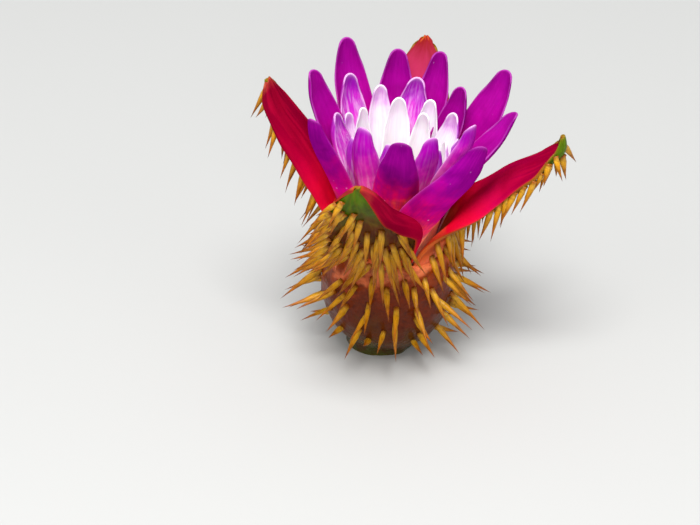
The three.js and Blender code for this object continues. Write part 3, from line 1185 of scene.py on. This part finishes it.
# fmt: off
SEPALS = (
    Sepal(
        Leaf(
            "sepal_right", 351.5, 25.8, 44.2, 11.3, 0.4, 0.0,
            twist=4.0, bow=-0.8, dip=-1.7, foot_turn=-1.0, sway=1.8, lopsided=-0.05,
        ),
        replace(
            SEPAL_LAW, foot_radius=8.6, foot_height=19.9, foot_width=17.5, foot_cup=54.0, widest=0.6,
            tip_power=2.1, hood=2.4, hood_cup=88.0, hood_from=0.9,
            fold=Fold(roll=(-66.0, -28.0), reach=3.1, end=(0.5, 0.82)),
        ),
        0.62, SEPAL_INSIDE, rows=14, fringe=9,
    ),
    Sepal(
        Leaf("sepal_back", 83.2, 24.6, 44.7, 14.6, 0.8, 19.0, sway=-0.2),
        replace(
            SEPAL_LAW, tip_power=2.1, tip_taper=0.62, tip_blunt=0.02, hood=0.3, hood_cup=-4.0,
            fold=Fold((4.0, 8.0), (-8.0, -34.0), reach=2.4, end=(0.8, 1.0)),
        ),
        0.7, SEPAL_PALE,
    ),
    Sepal(
        Leaf(
            "sepal_left", 163.0, 24.2, 43.9, 11.8, 0.6, 5.0,
            twist=-10.0, bow=-1.15, dip=-1.65, foot_turn=8.0, sway=-0.2, lopsided=0.12,
        ),
        replace(
            SEPAL_LAW, foot_radius=9.7, foot_width=15.7, widest=0.37, tip_power=1.8, hood=0.5, hood_cup=-10.0,
            fold=Fold((4.0, 4.0), (-8.0, -140.0), reach=1.8, end=(0.8, 1.05)),
        ),
        0.85, SEPAL_DEEP, rows=8, fringe=6, fringe_at=0.55, fringe_from=0.12, longest=9.6, shortest=6.4,
    ),
    Sepal(
        Leaf(
            "sepal_front", 252.0, 26.0, 43.8, 18.9, 0.8, 2.0,
            twist=-9.5, bow=-0.6, dip=1.0, foot_turn=8.0, sway=0.5, lopsided=0.13, foot_lopsided=-0.35,
        ),
        replace(
            SEPAL_LAW, foot_radius=9.2, foot_height=20.2, foot_width=12.2, foot_cup=30.0, widest=0.6,
            tip_power=3.7, hood=1.0, hood_cup=-6.0,
            fold=Fold((-30.0, 28.0), (0.0, -183.0), reach=4.8, widening=(0.05, 0.7), end=(1.0, 1.4)),
        ),
        0.7, SEPAL_DEEP, fan=1.1, rows=14, bare=0.55, fringe=7,
    ),
)
# fmt: on


@dataclass
class Sepals:
    """The four sepals: thick channelled blades, hooked at the tip, with prickles on their backs."""

    prickles: PrickleMaker
    sepals: tuple[Sepal, ...] = SEPALS
    reach: Point2 = (0.05, 0.93)  # the stations of the first and the last row of prickles
    sparse_from: float = 0.8  # the station above which a row has two, and not four or five
    margin: float = 0.92  # how far out across the blade a row goes
    rolled: float = -30.0  # a margin that rolls back more than this, in degrees, stays bare

    def build(self) -> None:
        """Builds each sepal with its prickles."""
        for sepal in self.sepals:
            blade = Blade(sepal.leaf, sepal.law)
            flesh = blade.build(sepal.inside, SEPAL_OUTSIDE)
            piece = join([flesh, *self._prickles(blade, sepal)])
            hand_over(piece, f"fine_{sepal.leaf.node}", sepal.leaf.node)

    def _prickles(self, blade: Blade, sepal: Sepal) -> list[Piece]:
        """Stands prickles all over a sepal's back, and along one line where it has a fringe.

        Args:
            blade: the sepal's blade.
            sepal: how its prickles stand.

        Returns:
            The prickles.
        """
        chance = random.Random(blade.leaf.node + " prickles")
        made = []
        for row in range(sepal.rows):
            t = mix(*self.reach, row / (sepal.rows - 1))
            left, right = (
                blade.flat(t, side) if roll < self.rolled else self.margin
                for side, roll in zip((-1, 1), sepal.law.fold.roll)
            )
            count = 2 if t > self.sparse_from else 4 + row % 2
            for k in range(count):
                v = mix(-left, right, (k + chance.uniform(0.3, 0.7)) / count)
                at = min(max(t + chance.uniform(-0.03, 0.03), 0.03), 0.97)
                if v < -0.2 or at < sepal.bare:
                    made.append(self._prickle(blade, sepal, at, v, chance))
        for k in range(sepal.fringe):
            t = mix(sepal.fringe_from, 0.96, (k + 0.5) / sepal.fringe)
            made.append(self._prickle(blade, sepal, t, sepal.fringe_at, chance))
        return made

    def _prickle(
        self, blade: Blade, sepal: Sepal, t: float, v: float, chance: random.Random
    ) -> Piece:
        """Stands one prickle on a sepal's back, leaning back towards the foot, longest near the foot.

        Args:
            blade: the sepal's blade.
            sepal: how its prickles stand.
            t: the prickle's station.
            v: its place across.
            chance: varies its direction and its length.

        Returns:
            The prickle.
        """
        point, normal = blade.surface(t, v)
        forward, across, inward = blade.axes(t)
        direction = -(normal + inward).normalized() * sepal.spread
        direction -= forward * (0.74 + chance.uniform(-0.16, 0.16))
        direction += across * (v * sepal.fan + chance.uniform(-0.2, 0.2))
        length = mix(sepal.longest, sepal.shortest, t) * chance.uniform(0.7, 1.15)
        foot = point - normal * sepal.law.thickness * 0.3
        return self.prickles.stand(foot, direction, length, chance)


@dataclass(frozen=True)
class Whorl:
    """One whorl of petals.

    Each shape gives a petal's azimuth, tip radius, tip height, width round its curve, hook, cup, twist, bow
    and foot turn, and then its sway where that isn't left to chance. The others are the petals that have an
    inside and an outside of their own.
    """

    name: str
    law: BladeLaw
    inside: SkinFinish
    outside: SkinFinish
    slot: Slot
    shapes: tuple[tuple[float, ...], ...]
    others: dict[int, tuple[SkinFinish, SkinFinish]] = field(default_factory=dict)

    def build(self) -> None:
        """Builds the whorl's petals, each with a little sway of its own."""
        for i, shape in enumerate(self.shapes, 1):
            node = f"petal_{self.name}_{i}"
            sway = random.Random(node + " sway").uniform(-0.3, 0.3)
            leaf = Leaf(node, *(shape if len(shape) > 9 else (*shape, sway)))
            piece = Blade(leaf, self.law).build(*self.others.get(i, (self.inside, self.outside)))
            hand_over(piece, f"fine_{node}", node)


WHORLS = (
    Whorl(
        "outer",
        BladeLaw(7.5, 18.9, 5.0, 40.0, 0.5, 3.6, 0.44, -0.9, 0.42, hood=1.2, hood_cup=8.0, hood_from=0.82),
        OUTER_PETAL,
        OUTER_BACK,
        Slot.MAGENTA,
        (
            (32.0, 19.8, 47.4, 8.6, 0.2, 44, 12, 0.2, 0),
            (71.5, 17.2, 46.8, 7.4, 0.6, 66, 6, 0.3, 0),
            (97.0, 16.8, 46.4, 8.0, 0.9, 54, 0, 0.3, 0),
            (127.0, 18.9, 48.4, 8.0, 0.4, 44, -8, 0.4, 0),
            (161.0, 17.9, 46.8, 7.8, 0.6, 62, -20, -0.5, 0),
            (210.5, 19.2, 46.2, 6.6, 0.4, 60, 22, 0.0, 6),
            (265.0, 15.2, 46.4, 9.2, 1.4, 56, 0, 0.2, 0),
            (312.0, 18.8, 46.4, 9.8, 1.5, 50, -10, 0.6, -35, -1.0),
            (353.5, 18.4, 46.7, 8.5, 0.8, 56, 24, -2.2, -30, -1.8),
        ),
        {7: (OUTER_PETAL, FRONT_BACK)},
    ),
    Whorl(
        "second",
        BladeLaw(6.6, 18.5, 4.5, 42.0, 0.5, 3.6, 0.46, -0.5, 0.38, hood=1.3, hood_cup=8.0, hood_from=0.84),
        SECOND_PETAL,
        SECOND_BACK,
        Slot.VIOLET,
        (
            (46.0, 13.9, 44.0, 7.8, 0.6, 68, 4, -0.2, 0),
            (82.0, 12.9, 43.7, 7.8, 0.5, 54, 0, 0.3, 0),
            (138.0, 14.2, 44.9, 7.6, 0.5, 56, -6, 0.2, 0),
            (178.0, 12.6, 42.2, 8.0, 0.4, 62, -22, -0.3, 0),
            (231.0, 12.8, 45.6, 7.6, 0.8, 62, 8, 0.0, 14),
            (297.0, 9.8, 44.2, 7.2, 0.5, 58, 2, -0.2, -8),
            (329.0, 13.2, 46.2, 7.6, 0.6, 62, -8, -0.6, -14),
            (14.0, 12.0, 40.0, 7.2, 0.5, 66, 10, -0.4, -6),
        ),
        {1: (OUTER_PETAL, OUTER_BACK)},
    ),
    Whorl(
        "third",
        BladeLaw(5.6, 18.0, 3.7, 44.0, 0.5, 3.4, 0.46, -0.1, 0.36, hood=1.0, hood_cup=6.0, hood_from=0.84),
        THIRD_PETAL,
        SECOND_PETAL,
        Slot.WHITE,
        (
            (32.0, 10.2, 41.6, 7.2, 0.4, 58, 8, -0.2, 0),
            (66.0, 10.9, 41.2, 5.8, 0.4, 58, 4, 0.0, 0),
            (114.5, 11.6, 42.8, 5.8, 0.4, 54, -4, 0.0, 0),
            (155.0, 11.2, 40.2, 5.4, 0.3, 60, -14, 0.0, 0),
            (201.0, 9.8, 40.0, 5.4, 0.4, 62, 14, 0.0, 0),
            (251.0, 8.6, 42.0, 5.6, 0.4, 62, 4, 0.0, 0),
            (309.0, 8.8, 41.0, 5.6, 0.4, 62, -4, 0.0, 0),
            (351.0, 9.2, 40.4, 5.6, 0.4, 62, -14, 0.0, 0),
        ),
        {2: (INNER_PETAL, THIRD_PETAL)},
    ),
    Whorl(
        "inner",
        BladeLaw(4.7, 17.6, 3.2, 44.0, 0.45, 3.2, 0.46, 0.1, 0.34, hood=0.8, hood_cup=6.0, hood_from=0.84),
        INNER_PETAL,
        THIRD_PETAL,
        Slot.WHITE,
        (
            (66.0, 8.4, 39.9, 5.2, 0.3, 56, 4, 0.0, 0),
            (98.0, 9.5, 41.4, 6.0, 0.3, 52, 0, 0.0, 0),
            (141.0, 9.8, 40.6, 5.0, 0.3, 58, -8, 0.0, 0),
            (179.0, 7.8, 38.4, 4.8, 0.3, 60, -16, 0.0, 0),
            (228.0, 6.9, 37.8, 4.8, 0.3, 60, 8, 0.0, 0),
            (282.0, 6.6, 38.2, 4.8, 0.3, 60, 0, 0.0, 0),
            (330.0, 7.0, 38.0, 4.8, 0.3, 60, -10, 0.0, 0),
            (6.0, 7.4, 38.6, 4.8, 0.3, 60, 12, 0.0, 0),
        ),
    ),
)


@dataclass
class Stamens:
    """Bundles of stamens in a ring round the stigma, each bundle in the place of one plain solid."""

    bundles: int = 18
    floor: float = 17.0
    radius: float = 0.26
    sides: int = 6
    # radius and length in millimetres, and shift as a share of the spacing, of each ring of stamens
    whorls: tuple[tuple[float, float, float], ...] = ((3.55, 9.5, 0.0), (3.95, 11.5, 0.5), (4.3, 13.0, 0.0))
    # height as a share of the length, and girth as a share of the radius
    filament: tuple[Point2, ...] = ((0.0, 1.0), (0.3, 0.75), (0.62, 0.85))
    anther: tuple[Point2, ...] = ((0.68, 1.5), (0.8, 1.65), (0.93, 1.3), (1.0, 0.7))

    def build(self) -> None:
        """Models one stamen and builds each bundle from copies of it."""
        template = self._template()
        for bundle in range(self.bundles):
            chance = random.Random(f"stamens {bundle}")
            made = []
            for radius, length, shift in self.whorls:
                az = math.tau * (bundle + shift) / self.bundles + chance.uniform(-0.06, 0.06)
                tilt = (Vector((0, 0, 1)) + outward(az) * chance.uniform(-0.02, 0.08)).normalized()
                size = length * chance.uniform(0.92, 1.08)
                place = Matrix.Translation(outward(az) * radius + Vector((0, 0, self.floor)))
                place = place @ turn_to(tilt, math.degrees(az)) @ Matrix.Diagonal((1, 1, size, 1))
                made.append(copy_of(template, place))
            hand_over(join(made), f"fine_stamens_{bundle + 1}", f"stamen_{bundle + 1}")
        bpy.data.objects.remove(template)

    def _template(self) -> Piece:
        """Models a stamen one unit long up +Z: a slender filament, then a blunt anther.

        Returns:
            The stamen, to be copied and then removed.
        """
        piece = grow(self.radius, self.sides, self.filament + self.anther)
        points = [vertex.co for vertex in piece.data.vertices]
        lay_maps(piece, [(turn_of(point), min(point.z, 1.0)) for point in points], size=(1.6, 11.0))
        dress(piece, FILAMENT, ANTHER)
        for face in piece.data.polygons:
            face.material_index = int(face.center.z > self.filament[-1][0] + 0.01)
        return piece


@dataclass
class StigmaDisc:
    """The concave stigma: a thick-edged disc with furrows that run out from its middle. Millimetres."""

    radius: float = 3.1
    floor: float = 17.1
    thickness: float = 0.9
    edge: float = 0.8  # how far its edge stands up
    furrows: int = 8
    furrow_depth: float = 0.28

    def build(self) -> None:
        """Spins the disc, presses the furrows in and smooths it."""
        top = self.floor + self.thickness
        shape = (
            (0.0, self.floor), (0.8, self.floor), (1.0, top), (0.95, top + self.edge),
            (0.82, top + self.edge), (0.6, top), (0.25, top - 0.25), (0.0, top - 0.1),
        )  # fmt: skip
        piece = spin("stigma", [(self.radius * share, z) for share, z in shape], 64)
        apply_modifier(piece, "SUBSURF", levels=1, render_levels=1)
        points = [vertex.co for vertex in piece.data.vertices]
        for point in points:
            r = math.hypot(point.x, point.y)
            if point.z > self.floor + 0.5 * self.thickness and r > 0.1:
                furrow = abs(math.cos(self.furrows / 2 * math.atan2(point.y, point.x))) ** 8
                point.z -= self.furrow_depth * furrow * smooth(r, 0.2, self.radius * 0.8)
        bpy.ops.object.shade_smooth()
        places = [(turn_of(point), min(math.hypot(point.x, point.y) / self.radius, 1)) for point in points]
        lay_maps(piece, places, (self.radius * 6, self.radius))
        dress(piece, STIGMA)
        hand_over(piece, "fine_stigma_disc", "stigma_disc")


@dataclass
class Ovary:
    """The prickly ovary: a globe with a rim round a shallow cup, on a stalk that is cut level.

    Places are a radius and a height in millimetres.
    """

    prickles: PrickleMaker
    stalk: Point2 = (5.5, 1.4)
    belly: Point2 = (11.2, 12.6)
    rim: Point2 = (10.2, 20.2)
    # over the rim and down into the cup
    cup: tuple[Point2, ...] = ((9.5, 20.35), (8.8, 20.1), (8.4, 19.0), (6.0, 17.9), (3.6, 16.8), (0.0, 16.8))
    lumps: float = 0.35
    canals: int = 8  # air canals in a ring, and one more in the middle
    canal: Point2 = (3.1, 0.62)  # the radius of that ring, and of a canal
    # height, count, length and droop in degrees of each ring of prickles
    rings: tuple[tuple[float, int, float, float], ...] = (
        (18.2, 17, 6.2, 30),
        (16.0, 17, 7.4, 28),
        (13.4, 17, 7.8, 28),
        (10.6, 15, 7.2, 24),
        (7.8, 12, 6.0, 14),
        (5.2, 9, 4.4, 4),
    )

    def build(self) -> None:
        """Spins the globe, makes it lumpy, cuts it level and adds the air canals and the prickles."""
        piece = spin("ovary", self._profile(), 72)
        # The lumps keep off the rim and off what lies within 5 mm of the axis.
        for vertex in piece.data.vertices:
            out = Vector((vertex.co.x, vertex.co.y, 0))
            if out.length > 5.0 and vertex.co.z < self.rim[1] - 0.4:
                lump = noise.noise(vertex.co * 0.32) + 0.5 * noise.noise(vertex.co * 0.8)
                vertex.co += out.normalized() * self.lumps * lump
        apply_modifier(piece, "SUBSURF", levels=1, render_levels=1)
        self._cut(piece)
        pick(piece)
        bpy.ops.object.shade_smooth_by_angle(angle=math.radians(50))
        points = [vertex.co for vertex in piece.data.vertices]
        lay_maps(piece, [(turn_of(point), point.z / self.rim[1]) for point in points], size=(70.0, 20.0))
        hand_over(join([piece, *self._prickles()]), "fine_ovary", "ovary")

    def outline(self, height: float) -> float:
        """Follows the globe's side, an ellipse above the belly and another below it.

        Args:
            height: the height in millimetres.

        Returns:
            The outer radius there.
        """
        end = self.rim if height > self.belly[1] else self.stalk
        reach = (height - self.belly[1]) / (end[1] - self.belly[1])
        return self.belly[0] * math.sqrt(max(1 - (1 - (end[0] / self.belly[0]) ** 2) * reach**2, 0))

    def _profile(self) -> list[Point2]:
        """Lists the profile from below the cut, up the outside, over the rim and down into the cup.

        Returns:
            The radius and height of each point.
        """
        rise = [mix(self.stalk[1], self.rim[1], i / 24) for i in range(25)]
        below = [(0.0, -self.stalk[0]), (self.stalk[0], -self.stalk[0])]
        return [*below, *((self.outline(height), height) for height in rise), *self.cup]

    def _cut(self, piece: Piece) -> None:
        """Cuts the stalk level at the origin, and sinks air canals into the cut face.

        Args:
            piece: the whole globe.
        """
        dress(piece, OvaryFinish(), FleshFinish())
        level = LEAN.matrix().to_3x3().normalized().inverted() @ Vector((0, 0, 1))
        edit_all(piece)
        bpy.ops.mesh.bisect(plane_co=(0, 0, 0), plane_no=level, use_fill=True, clear_inner=True)
        bpy.ops.object.mode_set(mode="OBJECT")
        # The cut face is the one that looks straight down, at the origin's height.
        for face in piece.data.polygons:
            face.material_index = int(face.normal.dot(level) < -0.99 and face.center.dot(level) < 0.05)
        away, radius = self.canal
        places = [outward(math.tau * k / self.canals) * away for k in range(self.canals)]
        drills = []
        for place in [*places, Vector((0, 0, 0))]:
            cylinder = bpy.ops.mesh.primitive_cylinder_add
            drill = add_primitive(cylinder, vertices=16, radius=radius, depth=4.0)
            drill.data.transform(Matrix.Translation(place) @ turn_to(level))
            dress(drill, FleshFinish())
            drills.append(drill)
        tool = join(drills)
        solver = {"solver": "EXACT", "material_mode": "TRANSFER"}
        apply_modifier(piece, "BOOLEAN", operation="DIFFERENCE", object=tool, **solver)
        bpy.data.objects.remove(tool)

    def _prickles(self) -> list[Piece]:
        """Stands rings of prickles round the globe, each ring half a step round from the last.

        Returns:
            The prickles.
        """
        chance = random.Random("ovary prickles")
        made = []
        for r, (height, count, length, droop) in enumerate(self.rings):
            for k in range(count):
                out = outward(math.tau * (k + 0.5 * (r % 2)) / count + chance.uniform(-0.12, 0.12))
                z = height + chance.uniform(-0.9, 0.9)
                fall = math.radians(droop + chance.uniform(-14, 14))
                aside = Vector((-out.y, out.x, 0)) * chance.uniform(-0.2, 0.2)
                direction = out * math.cos(fall) + Vector((0, 0, -math.sin(fall))) + aside
                foot = out * (self.outline(z) - 0.25) + Vector((0, 0, z))
                grown = length * chance.uniform(0.8, 1.15)
                made.append(self.prickles.stand(foot, direction, grown, chance))
        return made


# --------------------------------------------- The stage ---------------------------------------------


@dataclass(frozen=True)
class Panel:
    """A soft, round light panel. Metres, degrees and watts."""

    name: str
    azimuth: float
    elevation: float
    distance: float
    size: float
    power: float

    def build(self, target: Vector) -> None:
        """Hangs the panel, turned to its target.

        Args:
            target: where it shines.
        """
        az, el = math.radians(self.azimuth), math.radians(self.elevation)
        away = Vector((math.cos(el) * math.cos(az), math.cos(el) * math.sin(az), math.sin(el)))
        light = bpy.data.lights.new(self.name, "AREA")
        light.shape = "DISK"
        light.size = self.size
        light.energy = self.power
        lamp = bpy.data.objects.new(self.name, light)
        lamp.location = target + away * self.distance
        lamp.rotation_euler = away.to_track_quat("Z", "Y").to_euler()
        bpy.context.scene.collection.objects.link(lamp)


@dataclass
class Studio:
    """The pale floor, the soft light and the camera. Metres and degrees, but for the scale and the lens."""

    photo: Point2 = (700.0, 525.0)  # the photograph's frame in pixels
    origin_pixel: Point2 = (382.0, 338.0)  # where the middle of the cut end falls in it
    scale: float = 6.0  # pixels to a millimetre at the flower
    elevation: float = 29.0
    roll: float = 1.26
    lens: float = 263.0  # millimetres, as is the sensor
    sensor: float = 36.0
    middle: Point2 = (0.0, 0.028)  # the flower's middle, across and up
    sky: str = "#E6E8EA"
    sky_strength: float = 0.64
    floor_radius: float = 3.0
    panels: tuple[Panel, ...] = (
        Panel("key panel", 265, 66, 0.75, 0.42, 6.8),
        Panel("left fill panel", 215, 35, 0.9, 0.5, 0.8),
        Panel("right fill panel", 320, 30, 0.9, 0.5, 0.4),
        Panel("front fill panel", 271, 28, 0.9, 0.3, 1.5),
    )

    def build(self) -> None:
        """Builds the floor, the lights, the world and the camera."""
        circle = bpy.ops.mesh.primitive_circle_add
        floor = add_primitive(circle, vertices=96, radius=self.floor_radius, fill_type="NGON")
        floor.name = "floor"
        dress(floor, FloorFinish())
        for panel in self.panels:
            panel.build(Vector((self.middle[0], 0, self.middle[1])))
        world = bpy.data.worlds.new("studio")
        world.use_nodes = True
        fill(world.node_tree.nodes["Background"], {0: linear(self.sky), 1: self.sky_strength})
        bpy.context.scene.world = world
        bpy.context.scene.view_settings.view_transform = "Standard"
        self._camera()

    def _camera(self) -> None:
        """Sets a long lens at the photograph's viewing angle, so that the origin falls on its pixel."""
        el = math.radians(self.elevation)
        away = Vector((0, -math.cos(el), math.sin(el)))
        up = Vector((0, math.sin(el), math.cos(el)))
        right = Vector((1, 0, 0))
        mm_right = (self.photo[0] / 2 - self.origin_pixel[0]) / self.scale
        mm_up = (self.origin_pixel[1] - self.photo[1] / 2) / self.scale
        aim = (right * mm_right + up * mm_up) * MM
        frame_width = self.photo[0] / self.scale * MM
        distance = frame_width * self.lens / self.sensor
        lens_data = bpy.data.cameras.new("camera")
        lens_data.lens = self.lens
        lens_data.sensor_width = self.sensor
        camera = bpy.data.objects.new("camera", lens_data)
        view = Matrix((right, up, away)).transposed() @ Matrix.Rotation(math.radians(self.roll), 3, "Z")
        camera.matrix_world = Matrix.Translation(aim + away * distance) @ view.to_4x4()
        bpy.context.scene.collection.objects.link(camera)
        bpy.context.scene.camera = camera


def main() -> None:
    """Builds the studio and then the flower from the ovary up."""
    logging.basicConfig(level=logging.INFO, format="%(message)s")
    Studio().build()
    prickles = PrickleMaker()
    prickles.model()
    Ovary(prickles).build()
    Sepals(prickles).build()
    prickles.done()
    for whorl in WHORLS:
        whorl.build()
    StigmaDisc().build()
    Stamens().build()


if __name__ == "__main__":
    main()
